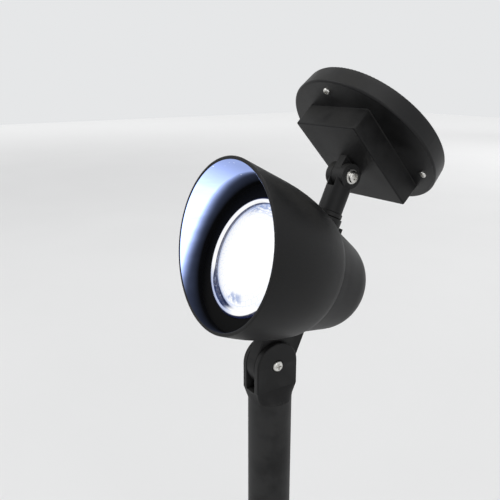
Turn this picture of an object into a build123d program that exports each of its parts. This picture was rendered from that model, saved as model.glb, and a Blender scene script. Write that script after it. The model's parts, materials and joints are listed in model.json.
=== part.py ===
"""Solar garden spotlight on a ground stake.

World frame: millimetres, +Z up, the origin on the stake axis at the ground line.
The lamp head throws its beam towards -Y and the hinge axes lie along X.
"""
from build123d import *
from math import cos, radians, sin, sqrt, tan
import os

os.makedirs("parts", exist_ok=True)

# ---------------------------------------------------------------- layout
pivot_height = 165.0          # head tilt axis above the ground line
beam_elevation = 25.0         # beam above the horizontal, degrees
pivot_drop = 60.6             # tilt axis below the beam axis
pivot_setback = 46.4          # tilt axis behind the lens plane
arm_setback = 49.2            # panel arm axis behind the lens plane
hinge_rise = 70.7             # panel hinge above the beam axis
panel_lean = 22.0             # panel normal leaned back from the arm, degrees

running_gap = 0.3             # air between parts that move past each other
fit_gap = 0.05                # radial clearance of a pin or a plug
side_gap = 0.1                # clearance beside a tongue in its fork

# ---------------------------------------------------------------- stake
riser_radius = 14.5
riser_wall = 1.8
flange_radius = 19.0
flange_thickness = 2.5
plug_length = 19.0
spike_length = 125.0
spike_width = 27.0
spike_point_width = 3.0
blade_thickness = 3.0

knuckle_radius = 15.8         # ear and tongue radius at the tilt axis
knuckle_width = 17.0          # over both ears
tongue_width = 9.0
ear_straight = 16.0           # straight side of the ears below the axis
collar_height = 9.0           # taper from the ears down to the riser
ear_recess = 1.2              # seat of the bolt head and of the nut
ear_edge = 1.0                # rounding of the moulded edges
tongue_edge = 0.8

# ---------------------------------------------------------------- bolts
bolt_radius = 2.0
bolt_end = 1.0                # bolt past its nut
tilt_head_radius = 3.8
panel_head_radius = 4.0
bolt_head_height = 2.5
washer_radius = 4.8
washer_thickness = 0.8
nut_flats = 7.0
nut_height = 3.2
recess_depth = 1.3            # cross recess in a screw head
recess_width = 0.9

# ---------------------------------------------------------------- lamp head
hood_radius = 50.6            # outside, at the lens plane
hood_flare = 2.8              # forward opening of the hood, degrees
hood_wall = 2.4
mouth_reach = 21.9            # mouth plane ahead of the lens plane, on the axis
mouth_rake = 14.0             # mouth plane leaned, visor side forward, degrees
mouth_edge = 0.9              # rounding of the rim
shoulder_radius = 43.5
shoulder_setback = 35.8
tail_radius = 39.3
tail_setback = 43.2
ledge_setback = 1.0           # front face of the ledge behind the lens plane
ledge_thickness = 5.0
ledge_step = 10.2             # dark ring between the wall and the lens
lens_lap = 4.0                # lens over the ledge
lens_proud = 0.6              # lens rim ahead of the lens plane
lens_crown = 1.9              # height of the lens dome over its rim
lens_rim = 2.2                # thickness of the lens rim
gasket_thickness = 0.8
spigot_radius = 36.7
spigot_length = 6.2
spigot_wall = 2.4
seal_depth = 1.0
seal_width = 1.9
dome_radius = 39.0            # outside, at the joint with the hood
dome_waist = (31.6, 69.0)     # radius and setback where the cone turns round
dome_haunch = (22.9, 82.5)
dome_setback = 90.5           # rear end of the head
dome_wall = 2.2

flange_clearance = 4.2        # reflector flange inside the wall of the hood
reflector_wall = 1.4
reflector_lap = 1.0           # mouth of the bowl inside the ledge bore
reflector_mid = (9.7, 20.0)   # the bowl's middle: in from the mouth, and setback
reflector_throat = 6.2
reflector_depth = 33.0
flange_screw_inset = 3.5      # screw centre from the edge of the flange
small_screw_radius = 1.3
small_head_radius = 2.5
small_head_height = 1.6
collar_radius = 14.5
board_radius = 16.0
board_thickness = 1.6
spreader_radius = 18.0
spreader_thickness = 4.0
board_screw_circle = 11.0
led_size = 6.0
led_height = 1.2
led_dome = 2.3

# The sizes that follow from those.
lens_radius = hood_radius - hood_wall - ledge_step
ledge_bore = lens_radius - lens_lap
reflector_mouth = ledge_bore - reflector_lap
reflector_flange = hood_radius - hood_wall - flange_clearance
flange_screw_circle = reflector_flange - flange_screw_inset
bowl_middle = reflector_mouth - reflector_mid[0]

# ---------------------------------------------------------------- panel arm
arm_radius = 8.2
arm_boss_radius = 9.8
arm_boss_bottom = 30.0        # above the beam axis
arm_boss_top = 41.8
arm_collar_radius = 9.0
arm_collar_height = 3.4
arm_spigot_radius = 5.5
arm_spigot_bottom = 25.0
arm_wire_bore = 3.0
arm_fork_width = 15.8         # over both ears
arm_slot_depth = 9.4          # slot floor below the hinge
panel_tongue_width = 6.0
panel_tongue_radius = 8.0
panel_tongue_root = 10.0      # half length of the tongue at the box
retainer_radius = 8.6
retainer_thickness = 1.2
retainer_groove = 1.0
arm_seal_radius = 7.0
arm_seal_height = 1.1
nub_size = (5.0, 7.0)         # across and along the head
nub_top = 37.6                # above the beam axis

# ---------------------------------------------------------------- batteries
battery_radius = 7.1
battery_length = 49.2
battery_gap = 1.0             # between neighbouring cells
battery_nub = (2.75, 1.0)     # radius and length
contact_size = 11.0
contact_thickness = 0.5
spring_length = 4.5
spring_radii = (5.0, 3.0)
spring_wire = 0.6

# ---------------------------------------------------------------- panel
box_side_room = 2.75          # beside the outer cells
box_end_room = 9.2            # behind the wall that ends the cells, for the circuit
box_front = 36.7              # box end ahead of the hinge, along the panel
box_bottom = 8.8              # box floor above the hinge axis
box_corner = 1.5
box_edge = 1.0
box_wall = 2.2
partition_wall = 1.6
box_boss_radius = 2.2
box_boss_inset = 1.85         # boss centre from the inside of the side wall
box_boss_end_inset = 2.3      # the same from the end wall
box_boss_back_inset = 2.8     # the same from the inner wall
box_screw_length = 11.0
control_width = 40.0
control_height = 11.0
control_inset = 4.4           # board face behind the inner wall
component_pitch = 12.0

cell_rise = 0.3               # top of the cells above the underside of the tray
tray_lead = 3.05              # tray centre ahead of the middle of the box
tray_taper = 1.1              # rim radius under the base radius
tray_height = 13.3
tray_wall = 2.2
tray_edge = 1.5
tray_lip_edge = 0.6
cell_frame_over = 1.1         # square rib under the cells, longer than the box
cell_frame_wall = 3.0
cell_corner_gap = 0.2         # its corners to the wall of the tray
solar_board_thickness = 1.2
solar_cell_thickness = 0.4
solar_cover_thickness = 1.2
solar_rows = 9
solar_cell_gap = 1.2
window_lap = 2.0              # face plate over the edge of the cover
face_thickness = 1.8
face_recess = 0.8             # face plate below the tray rim
tray_screw_inset = 8.4        # screw centre from the base radius
tray_boss_radius = 3.2
tray_screw_end = 2.0          # screw end below the face plate
sensor_radius = 2.5
sensor_across = 12.0
sensor_inset = 3.7            # sensor centre from the edge of the window

switch_inset = 10.9           # switch centre from the base radius
switch_size = (7.0, 14.0, 4.4)
switch_travel = 3.0
knob_size = (3.0, 4.6)
knob_reach = 2.3              # knob below the tray floor
knob_foot = (4.6, 6.4, 1.1)

# The sizes that follow from those.
battery_pitch = 2 * battery_radius + battery_gap
box_width = 2 * (battery_pitch + battery_radius + box_side_room + box_wall)
box_floor = box_bottom + box_wall
spring_end = -box_front + box_wall + contact_thickness
battery_start = spring_end + spring_length
battery_end = battery_start + battery_length + battery_nub[1]
partition_start = battery_end + contact_thickness
partition_end = partition_start + partition_wall
box_back = partition_end + box_end_room + box_wall
battery_level = box_floor + battery_radius
tray_bottom = battery_level + battery_radius - cell_rise
control_place = partition_end + control_inset
boss_across = box_width / 2 - box_wall - box_boss_inset
boss_front = -box_front + box_wall + box_boss_end_inset
boss_back = partition_end + box_boss_back_inset
box_screw_places = [(x, y) for x in (-boss_across, boss_across) for y in (boss_front, boss_back)]
box_length = box_front + box_back
box_middle = (box_back - box_front) / 2
tray_offset = tray_lead - box_middle
cell_frame = box_length + cell_frame_over
tray_inner_radius = cell_frame / sqrt(2) + cell_corner_gap
tray_rim_radius = tray_inner_radius + tray_wall
tray_base_radius = tray_rim_radius + tray_taper
window_size = cell_frame - 2 * window_lap
sensor_place = (sensor_across, -window_size / 2 - sensor_inset)
tray_screw_circle = tray_base_radius - tray_screw_inset
switch_place = switch_inset - tray_base_radius

# ---------------------------------------------------------------- planes
across = Vector(1, 0, 0)
beam = Vector(0, -cos(radians(beam_elevation)), sin(radians(beam_elevation)))
rise = Vector(0, sin(radians(beam_elevation)), cos(radians(beam_elevation)))
back = -beam
tilt_point = Vector(0, 0, pivot_height)
lens_centre = tilt_point + rise * pivot_drop + beam * pivot_setback
beam_axis = Axis(lens_centre, beam)
head_plane = Plane(origin=lens_centre, x_dir=across, z_dir=beam)
head_section = Plane(origin=lens_centre, x_dir=rise, z_dir=across)
tilt_plane = Plane(origin=tilt_point, x_dir=(0, 1, 0), z_dir=across)
tongue_plane = Plane(origin=tilt_point, x_dir=back, z_dir=across)
arm_plane = Plane(origin=lens_centre + back * arm_setback, x_dir=across, z_dir=rise)
hinge_point = arm_plane.origin + rise * hinge_rise
hinge_plane = Plane(origin=hinge_point, x_dir=back, z_dir=across)
panel_normal = rise * cos(radians(panel_lean)) + back * sin(radians(panel_lean))
panel_length = back * cos(radians(panel_lean)) - rise * sin(radians(panel_lean))
panel_plane = Plane(origin=hinge_point, x_dir=across, z_dir=panel_normal)
panel_side = Plane(origin=hinge_point, x_dir=panel_length, z_dir=across)
tray_centre = hinge_point - panel_length * tray_offset
tray_plane = Plane(origin=tray_centre, x_dir=across, z_dir=panel_normal)
tray_section = Plane(origin=tray_centre, x_dir=across, z_dir=-panel_length)
tray_axis = Axis(tray_centre, panel_normal)


def pan_head_screw(shank_radius, shank_length, head_radius, head_height):
    """A screw along Z: its head stands on the XY plane and its shank hangs below."""
    with BuildPart() as screw:
        with BuildSketch(Plane.XZ):
            with BuildLine():
                FilletPolyline(
                    (0, head_height),
                    (head_radius, head_height),
                    (head_radius, 0),
                    radius=head_height * 0.7,
                )
                Polyline(
                    (head_radius, 0),
                    (shank_radius, 0),
                    (shank_radius, -shank_length),
                    (0, -shank_length),
                    (0, head_height),
                )
            make_face()
        revolve(axis=Axis.Z)
        with BuildSketch(Plane.XY.offset(head_height)):
            Rectangle(head_radius * 1.1, recess_width)
            Rectangle(recess_width, head_radius * 1.1)
        extrude(amount=-min(recess_depth, head_height * 0.6), mode=Mode.SUBTRACT)
    return screw.part


def inward(edge):
    """The direction square to the end of an outline that runs rearward, into the part."""
    heading = edge % 1
    return Vector(heading.Y, -heading.X)


def hex_nut(height):
    """A nut along Z, its bearing face on the XY plane and its body above."""
    with BuildPart() as nut:
        with BuildSketch():
            RegularPolygon(radius=nut_flats / 2, side_count=6, major_radius=False)
            Circle(bolt_radius + fit_gap, mode=Mode.SUBTRACT)
        extrude(amount=height)
    return nut.part


# ================================================================ stake
riser_bottom = flange_thickness
riser_top = pivot_height - ear_straight - collar_height
plug_radius = riser_radius - riser_wall - fit_gap

with BuildPart() as ground_spike:
    with BuildSketch(Plane.XZ):
        with BuildLine():
            Polyline(
                (-spike_width / 2, 0),
                (spike_width / 2, 0),
                (spike_width / 2, -spike_length * 0.3),
                (spike_point_width / 2, -spike_length),
                (-spike_point_width / 2, -spike_length),
                (-spike_width / 2, -spike_length * 0.3),
                close=True,
            )
        make_face()
    extrude(amount=blade_thickness / 2, both=True)
    with BuildSketch(Plane.YZ):
        with BuildLine():
            Polyline(
                (-spike_width / 2, 0),
                (spike_width / 2, 0),
                (spike_width / 2, -spike_length * 0.3),
                (spike_point_width / 2, -spike_length),
                (-spike_point_width / 2, -spike_length),
                (-spike_width / 2, -spike_length * 0.3),
                close=True,
            )
        make_face()
    extrude(amount=blade_thickness / 2, both=True)
    with BuildSketch():
        Circle(flange_radius)
    extrude(amount=flange_thickness)
    with BuildSketch(Plane.XY.offset(flange_thickness)):
        Circle(plug_radius)
    extrude(amount=plug_length)
    chamfer(ground_spike.faces().sort_by(Axis.Z)[-1].edges(), 1.0)
    rims = ground_spike.edges().filter_by(GeomType.CIRCLE).group_by(SortBy.RADIUS)[-1]
    fillet(rims.sort_by(Axis.Z)[-1], 0.8)
ground_spike.part.label = "ground_spike"
export_step(ground_spike.part, "parts/ground_spike.step")

with BuildPart() as riser_tube:
    with BuildSketch(Plane.XY.offset(riser_bottom)):
        Circle(riser_radius)
        Circle(riser_radius - riser_wall, mode=Mode.SUBTRACT)
    extrude(amount=riser_top - riser_bottom)
riser_tube.part.label = "riser_tube"
export_step(riser_tube.part, "parts/riser_tube.step")

slot_floor = -knuckle_radius - 1.0
with BuildPart() as stake_head:
    # The two ears, seen along the tilt axis.
    with BuildSketch(tilt_plane.offset(-knuckle_width / 2)):
        with BuildLine():
            Polyline(
                (knuckle_radius, 0),
                (knuckle_radius, -ear_straight),
                (-knuckle_radius, -ear_straight),
                (-knuckle_radius, 0),
            )
            ThreePointArc((-knuckle_radius, 0), (0, knuckle_radius), (knuckle_radius, 0))
        make_face()
    extrude(amount=knuckle_width)
    ear_sides = stake_head.faces().filter_by(Axis.X)
    fillet(ear_sides.edges().sort_by(Axis.Z)[2:], ear_edge)
    # The taper down to the riser, and the plug inside it.
    with BuildSketch(Plane.XY.offset(riser_top)):
        Circle(riser_radius)
    with BuildSketch(Plane.XY.offset(riser_top + collar_height)):
        RectangleRounded(knuckle_width, 2 * knuckle_radius, ear_edge)
    loft()
    with BuildSketch(Plane.XY.offset(riser_top)):
        Circle(plug_radius)
    extrude(amount=-plug_length)
    chamfer(stake_head.faces().sort_by(Axis.Z)[0].edges(), 1.0)
    # The fork slot, the bolt hole and the seats of the head and the nut.
    with BuildSketch(Plane.XY.offset(pivot_height + slot_floor)):
        Rectangle(tongue_width + 2 * side_gap, 4 * knuckle_radius)
    extrude(amount=3 * knuckle_radius, mode=Mode.SUBTRACT)
    with BuildSketch(tilt_plane.offset(-knuckle_width)):
        Circle(bolt_radius + fit_gap)
    extrude(amount=2 * knuckle_width, mode=Mode.SUBTRACT)
    with BuildSketch(tilt_plane.offset(knuckle_width / 2 - ear_recess)):
        Circle(tilt_head_radius + running_gap)
    extrude(amount=knuckle_width, mode=Mode.SUBTRACT)
    with BuildSketch(tilt_plane.offset(-knuckle_width / 2 + ear_recess)):
        RegularPolygon(radius=nut_flats / 2 + fit_gap, side_count=6, major_radius=False)
    extrude(amount=-knuckle_width, mode=Mode.SUBTRACT)
stake_head.part.label = "stake_head"
export_step(stake_head.part, "parts/stake_head.step")

tilt_seat = knuckle_width / 2 - ear_recess
with BuildPart(tilt_plane.offset(tilt_seat)) as tilt_bolt:
    add(pan_head_screw(bolt_radius, 2 * tilt_seat + nut_height + bolt_end, tilt_head_radius, bolt_head_height))
tilt_bolt.part.label = "tilt_bolt"
export_step(tilt_bolt.part, "parts/tilt_bolt.step")

with BuildPart(Plane(origin=tilt_point - across * tilt_seat, x_dir=(0, 1, 0), z_dir=-across)) as tilt_nut:
    add(hex_nut(nut_height))
tilt_nut.part.label = "tilt_nut"
export_step(tilt_nut.part, "parts/tilt_nut.step")

# ================================================================ lamp head
hood_front = mouth_reach + hood_radius * tan(radians(mouth_rake)) + 6
flare = tan(radians(hood_flare))
ledge_back = -ledge_setback - ledge_thickness
seat_depth = lens_rim - lens_proud + gasket_thickness
bore_radius = spigot_radius + fit_gap + side_gap
tail_bore = spigot_length - 0.8

with BuildPart() as hood:
    # The outside of the hood, a solid bell.
    with BuildSketch(head_section):
        with BuildLine():
            Line((0, -tail_setback), (0, hood_front))
            Line((0, hood_front), (hood_radius + hood_front * flare, hood_front))
            side = Line((hood_radius + hood_front * flare, hood_front), (hood_radius, 0))
            bell = TangentArc((hood_radius, 0), (shoulder_radius, -shoulder_setback), tangent=side % 1)
            TangentArc(
                (shoulder_radius, -shoulder_setback),
                (tail_radius, -tail_setback),
                tangent=bell % 1,
            )
            Line((tail_radius, -tail_setback), (0, -tail_setback))
        make_face()
    revolve(axis=beam_axis)
    # The mouth, raked so that the visor reaches further forward.
    rake_plane = Plane(origin=lens_centre + beam * mouth_reach, x_dir=across, z_dir=beam)
    split(bisect_by=rake_plane.rotated((mouth_rake, 0, 0)), keep=Keep.BOTTOM)
    # The space ahead of the ledge.
    with BuildSketch(head_section):
        with BuildLine():
            Polyline(
                (0, -ledge_setback),
                (hood_radius - hood_wall, -ledge_setback),
                (hood_radius - hood_wall + (hood_front + 2) * flare, hood_front + 2),
                (0, hood_front + 2),
                close=True,
            )
        make_face()
    revolve(axis=beam_axis, mode=Mode.SUBTRACT)
    # The seat of the lens, the bore of the ledge and the space behind it.
    with BuildSketch(head_section):
        with BuildLine():
            Polyline(
                (0, 0),
                (lens_radius + side_gap, 0),
                (lens_radius + side_gap, -seat_depth),
                (ledge_bore, -seat_depth),
                (ledge_bore, ledge_back),
                (hood_radius - hood_wall - 1.4, ledge_back),
                (shoulder_radius - hood_wall - 0.6, -shoulder_setback + 1.0),
                (bore_radius, -tail_setback + tail_bore),
                (bore_radius, -tail_setback - 1),
                (0, -tail_setback - 1),
                close=True,
            )
        make_face()
    revolve(axis=beam_axis, mode=Mode.SUBTRACT)
    with BuildSketch(head_plane.offset(ledge_back)):
        with PolarLocations(flange_screw_circle, 3, start_angle=90):
            Circle(small_screw_radius + fit_gap)
    extrude(amount=ledge_thickness * 0.8, mode=Mode.SUBTRACT)
    rim_face = hood.faces().filter_by(GeomType.PLANE).sort_by(beam_axis)[-1]
    fillet(rim_face.edges(), mouth_edge)
hood.part.label = "hood"
export_step(hood.part, "parts/hood.step")

with BuildPart() as lens_gasket:
    with BuildSketch(head_plane.offset(-seat_depth)):
        Circle(lens_radius - running_gap)
        Circle(ledge_bore + running_gap, mode=Mode.SUBTRACT)
    extrude(amount=gasket_thickness)
lens_gasket.part.label = "lens_gasket"
export_step(lens_gasket.part, "parts/lens_gasket.step")

with BuildPart() as lens:
    lens_back = lens_proud - lens_rim
    with BuildSketch(head_section):
        with BuildLine():
            Polyline(
                (0, lens_back),
                (lens_radius, lens_back),
                (lens_radius, lens_proud - 0.4),
                (lens_radius - 0.4, lens_proud),
                (lens_radius - 1.5, lens_proud),
                (lens_radius - 1.9, lens_proud - 0.8),
                (lens_radius - 2.6, lens_proud - 0.8),
                (lens_radius - 3.0, lens_proud),
            )
            TangentArc(
                (0, lens_proud + lens_crown),
                (lens_radius - 3.0, lens_proud),
                tangent=(1, 0),
            )
            Line((0, lens_proud + lens_crown), (0, lens_back))
        make_face()
    revolve(axis=beam_axis)
lens.part.label = "lens"
export_step(lens.part, "parts/lens.step")

with BuildPart() as reflector:
    with BuildSketch(head_section):
        with BuildLine():
            ThreePointArc(
                (reflector_mouth, ledge_back),
                (bowl_middle, -reflector_mid[1]),
                (reflector_throat, -reflector_depth),
            )
            Polyline(
                (reflector_throat, -reflector_depth),
                (reflector_throat, -reflector_depth - reflector_wall),
                (collar_radius, -reflector_depth - reflector_wall),
                (collar_radius, -reflector_depth),
                (reflector_throat + 3.2, -reflector_depth),
            )
            ThreePointArc(
                (reflector_throat + 3.2, -reflector_depth),
                (bowl_middle + 1.3, -reflector_mid[1] - 1.0),
                (reflector_mouth + 1.6, ledge_back - reflector_wall),
            )
            Polyline(
                (reflector_mouth + 1.6, ledge_back - reflector_wall),
                (reflector_flange, ledge_back - reflector_wall),
                (reflector_flange, ledge_back),
                (reflector_mouth, ledge_back),
            )
        make_face()
    revolve(axis=beam_axis)
    with BuildSketch(head_plane.offset(ledge_back)):
        with PolarLocations(flange_screw_circle, 3, start_angle=90):
            Circle(small_screw_radius + fit_gap)
    extrude(amount=-2 * reflector_wall, mode=Mode.SUBTRACT)
    with BuildSketch(head_plane.offset(-reflector_depth - reflector_wall)):
        with PolarLocations(board_screw_circle, 2):
            Circle(small_screw_radius + fit_gap)
    extrude(amount=reflector_wall * 0.75, mode=Mode.SUBTRACT)
reflector.part.label = "reflector"
export_step(reflector.part, "parts/reflector.step")

flange_screw_plane = Plane(origin=lens_centre + beam * (ledge_back - reflector_wall), x_dir=rise, z_dir=back)
with BuildPart(flange_screw_plane) as reflector_screws:
    with PolarLocations(flange_screw_circle, 3):
        add(pan_head_screw(small_screw_radius, ledge_thickness * 0.9, small_head_radius, small_head_height))
reflector_screws.part.label = "reflector_screws"
export_step(reflector_screws.part, "parts/reflector_screws.step")

board_front = -reflector_depth - reflector_wall
with BuildPart() as led_board:
    with BuildSketch(head_plane.offset(board_front)):
        Circle(board_radius)
        with PolarLocations(board_screw_circle, 2):
            Circle(small_screw_radius + fit_gap, mode=Mode.SUBTRACT)
    extrude(amount=-board_thickness)
led_board.part.label = "led_board"
export_step(led_board.part, "parts/led_board.step")

with BuildPart() as led:
    with BuildSketch(head_plane.offset(board_front)):
        RectangleRounded(led_size, led_size, 0.6)
    extrude(amount=led_height)
    with BuildSketch(head_section):
        with BuildLine():
            Line((0, board_front + led_height), (led_dome, board_front + led_height))
            RadiusArc(
                (led_dome, board_front + led_height),
                (0, board_front + led_height + led_dome),
                -led_dome,
            )
            Line((0, board_front + led_height + led_dome), (0, board_front + led_height))
        make_face()
    revolve(axis=beam_axis)
led.part.label = "led"
export_step(led.part, "parts/led.step")

with BuildPart() as heat_spreader:
    with BuildSketch(head_plane.offset(board_front - board_thickness)):
        Circle(spreader_radius)
        with PolarLocations(board_screw_circle, 2):
            Circle(small_screw_radius + fit_gap, mode=Mode.SUBTRACT)
    extrude(amount=-spreader_thickness)
    chamfer(heat_spreader.edges().filter_by(GeomType.CIRCLE).group_by(SortBy.RADIUS)[-1], 0.6)
heat_spreader.part.label = "heat_spreader"
export_step(heat_spreader.part, "parts/heat_spreader.step")

spreader_back = board_front - board_thickness - spreader_thickness
board_screw_length = spreader_thickness + board_thickness + reflector_wall * 0.7
board_screw_plane = Plane(origin=lens_centre + beam * spreader_back, x_dir=across, z_dir=back)
with BuildPart(board_screw_plane) as board_screws:
    with PolarLocations(board_screw_circle, 2):
        add(pan_head_screw(small_screw_radius, board_screw_length, small_head_radius, small_head_height))
board_screws.part.label = "board_screws"
export_step(board_screws.part, "parts/board_screws.step")

with BuildPart() as dome_shell:
    with BuildSketch(head_section):
        with BuildLine():
            cone = Line((dome_radius, -tail_setback), (dome_waist[0], -dome_waist[1]))
            haunch = TangentArc(
                (dome_waist[0], -dome_waist[1]),
                (dome_haunch[0], -dome_haunch[1]),
                tangent=cone % 1,
            )
            TangentArc((0, -dome_setback), (dome_haunch[0], -dome_haunch[1]), tangent=(1, 0))
            Line((0, -dome_setback), (0, -dome_setback + dome_wall))
            inner_waist = cone @ 1 + inward(cone) * dome_wall
            inner_haunch = haunch @ 1 + inward(haunch) * dome_wall
            TangentArc((0, -dome_setback + dome_wall), inner_haunch, tangent=(1, 0))
            TangentArc(inner_waist, inner_haunch, tangent=cone % 1)
            inner_mouth = (dome_radius - dome_wall, -tail_setback)
            Line(inner_waist, inner_mouth)
            Line(inner_mouth, (dome_radius, -tail_setback))
        make_face()
    revolve(axis=beam_axis)

with BuildPart() as rear_housing:
    # The tongue that drops into the stake's fork, and the boss that holds the arm.
    with BuildSketch(tongue_plane.offset(-tongue_width / 2)):
        Circle(knuckle_radius)
        Rectangle(2 * knuckle_radius, pivot_drop, align=(Align.CENTER, Align.MIN))
    extrude(amount=tongue_width)
    fillet(rear_housing.faces().filter_by(Axis.X).edges(), tongue_edge)
    with BuildSketch(arm_plane.offset(arm_boss_bottom)):
        Circle(arm_boss_radius)
    extrude(amount=arm_boss_top - arm_boss_bottom)
    # Clear the space of the hood, and the inside of the dome below the boss.
    with BuildSketch(head_section):
        with BuildLine():
            Line((0, -tail_setback), (0, 0))
            Line((0, 0), (hood_radius + running_gap, 0))
            guard = TangentArc(
                (hood_radius + running_gap, 0),
                (shoulder_radius + running_gap, -shoulder_setback),
                tangent=side % 1,
            )
            TangentArc(
                (shoulder_radius + running_gap, -shoulder_setback),
                (tail_radius + running_gap, -tail_setback),
                tangent=guard % 1,
            )
            Line((tail_radius + running_gap, -tail_setback), (0, -tail_setback))
        make_face()
    revolve(axis=beam_axis, mode=Mode.SUBTRACT)
    with BuildSketch(head_section):
        with BuildLine():
            Polyline(
                (0, -dome_setback),
                (0, -tail_setback),
                (arm_boss_bottom, -tail_setback),
                (arm_boss_bottom, -dome_waist[1]),
                close=True,
            )
        make_face()
    revolve(axis=beam_axis, mode=Mode.SUBTRACT)
    add(dome_shell.part)
    # The spigot that carries the hood, grooved for its seal.
    with BuildSketch(head_section):
        with BuildLine():
            Polyline(
                (spigot_radius - spigot_wall, -tail_setback + spigot_length),
                (spigot_radius, -tail_setback + spigot_length),
                (spigot_radius, -tail_setback),
                (spigot_radius + 0.8, -tail_setback),
                (spigot_radius + 0.8, -tail_setback - 2.0),
                (spigot_radius - spigot_wall, -tail_setback - 2.0),
                close=True,
            )
        make_face()
    revolve(axis=beam_axis)
    with BuildSketch(head_section):
        with Locations((spigot_radius, -tail_setback + spigot_length / 2)):
            Rectangle(2 * seal_depth, seal_width)
    revolve(axis=beam_axis, mode=Mode.SUBTRACT)
    # The small stop behind the boss.
    with BuildSketch(arm_plane.offset(arm_boss_bottom + dome_wall)):
        with Locations((0, arm_boss_radius + nub_size[1] / 2 - 2.0)):
            Rectangle(*nub_size)
    extrude(amount=nub_top - arm_boss_bottom - dome_wall)
    # The bores for the arm, its seal and the tilt bolt.
    with BuildSketch(arm_plane.offset(arm_boss_bottom - 4)):
        Circle(arm_spigot_radius + fit_gap)
    extrude(amount=arm_boss_top, mode=Mode.SUBTRACT)
    with BuildSketch(arm_plane.offset(arm_boss_top - arm_seal_height - side_gap)):
        Circle(arm_seal_radius + fit_gap)
    extrude(amount=arm_seal_height * 2, mode=Mode.SUBTRACT)
    with BuildSketch(tongue_plane.offset(-tongue_width)):
        Circle(bolt_radius + fit_gap)
    extrude(amount=2 * tongue_width, mode=Mode.SUBTRACT)
rear_housing.part.label = "rear_housing"
export_step(rear_housing.part, "parts/rear_housing.step")

with BuildPart() as housing_seal:
    with BuildSketch(head_section):
        with Locations(((spigot_radius - seal_depth + bore_radius) / 2, -tail_setback + spigot_length / 2)):
            Rectangle(bore_radius - spigot_radius + seal_depth, seal_width)
    revolve(axis=beam_axis)
housing_seal.part.label = "housing_seal"
export_step(housing_seal.part, "parts/housing_seal.step")

# ================================================================ panel arm
collar_bottom = arm_boss_top + running_gap
collar_top = collar_bottom + arm_collar_height
groove_top = arm_boss_bottom - side_gap

with BuildPart() as arm_seal:
    with BuildSketch(arm_plane.offset(arm_boss_top - arm_seal_height - side_gap)):
        Circle(arm_seal_radius)
        Circle(arm_spigot_radius + side_gap, mode=Mode.SUBTRACT)
    extrude(amount=arm_seal_height)
arm_seal.part.label = "arm_seal"
export_step(arm_seal.part, "parts/arm_seal.step")

with BuildPart() as panel_arm:
    with BuildSketch(arm_plane.offset(arm_spigot_bottom)):
        Circle(arm_spigot_radius)
    extrude(amount=collar_bottom - arm_spigot_bottom)
    with BuildSketch(arm_plane.offset(collar_bottom)):
        Circle(arm_collar_radius)
    extrude(amount=arm_collar_height)
    chamfer(panel_arm.edges().filter_by(GeomType.CIRCLE).group_by(SortBy.RADIUS)[-1], 0.5)
    with BuildSketch(arm_plane.offset(collar_top)):
        Circle(arm_radius)
    extrude(amount=hinge_rise - collar_top)
    with BuildSketch(hinge_plane.offset(-arm_fork_width / 2)):
        Circle(arm_radius)
    extrude(amount=arm_fork_width)
    # The flats on the ears.
    for hand in (1, -1):
        flat_origin = hinge_point + across * (hand * arm_fork_width / 2)
        with BuildSketch(Plane(origin=flat_origin, x_dir=rise, z_dir=across * hand)):
            Circle(arm_radius + 1)
        extrude(amount=arm_radius, mode=Mode.SUBTRACT)
    # The fork slot, the bolt hole, the groove of the retainer and the wire bore.
    with BuildSketch(arm_plane.offset(hinge_rise - arm_slot_depth)):
        Rectangle(panel_tongue_width + 2 * side_gap, 4 * arm_radius)
    extrude(amount=3 * arm_radius, mode=Mode.SUBTRACT)
    with BuildSketch(hinge_plane.offset(-arm_fork_width)):
        Circle(bolt_radius + fit_gap)
    extrude(amount=2 * arm_fork_width, mode=Mode.SUBTRACT)
    with BuildSketch(arm_plane.offset(groove_top)):
        Circle(arm_spigot_radius + 1)
        Circle(arm_spigot_radius - retainer_groove, mode=Mode.SUBTRACT)
    extrude(amount=-retainer_thickness, mode=Mode.SUBTRACT)
    with BuildSketch(arm_plane.offset(arm_spigot_bottom)):
        Circle(arm_wire_bore)
    extrude(amount=hinge_rise - arm_spigot_bottom - arm_slot_depth, mode=Mode.SUBTRACT)
panel_arm.part.label = "panel_arm"
export_step(panel_arm.part, "parts/panel_arm.step")

with BuildPart() as arm_retainer:
    with BuildSketch(arm_plane.offset(groove_top)):
        Circle(retainer_radius)
        Circle(arm_spigot_radius - retainer_groove, mode=Mode.SUBTRACT)
        with Locations((0, retainer_radius / 2)):
            Rectangle(2 * (arm_spigot_radius - retainer_groove) * 0.9, retainer_radius, mode=Mode.SUBTRACT)
    extrude(amount=-retainer_thickness)
arm_retainer.part.label = "arm_retainer"
export_step(arm_retainer.part, "parts/arm_retainer.step")

with BuildPart() as panel_washer:
    with BuildSketch(hinge_plane.offset(arm_fork_width / 2)):
        Circle(washer_radius)
        Circle(bolt_radius + fit_gap, mode=Mode.SUBTRACT)
    extrude(amount=washer_thickness)
panel_washer.part.label = "panel_washer"
export_step(panel_washer.part, "parts/panel_washer.step")

panel_bolt_length = arm_fork_width + washer_thickness + nut_height + bolt_end
with BuildPart(hinge_plane.offset(arm_fork_width / 2 + washer_thickness)) as panel_bolt:
    add(pan_head_screw(bolt_radius, panel_bolt_length, panel_head_radius, bolt_head_height))
panel_bolt.part.label = "panel_bolt"
export_step(panel_bolt.part, "parts/panel_bolt.step")

with BuildPart(Plane(origin=hinge_point - across * arm_fork_width / 2, x_dir=rise, z_dir=-across)) as panel_nut:
    add(hex_nut(nut_height))
panel_nut.part.label = "panel_nut"
export_step(panel_nut.part, "parts/panel_nut.step")

# ================================================================ battery box
box_top = tray_bottom - gasket_thickness
battery_places = [(-battery_pitch, 0), (0, 0), (battery_pitch, 0)]

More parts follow.
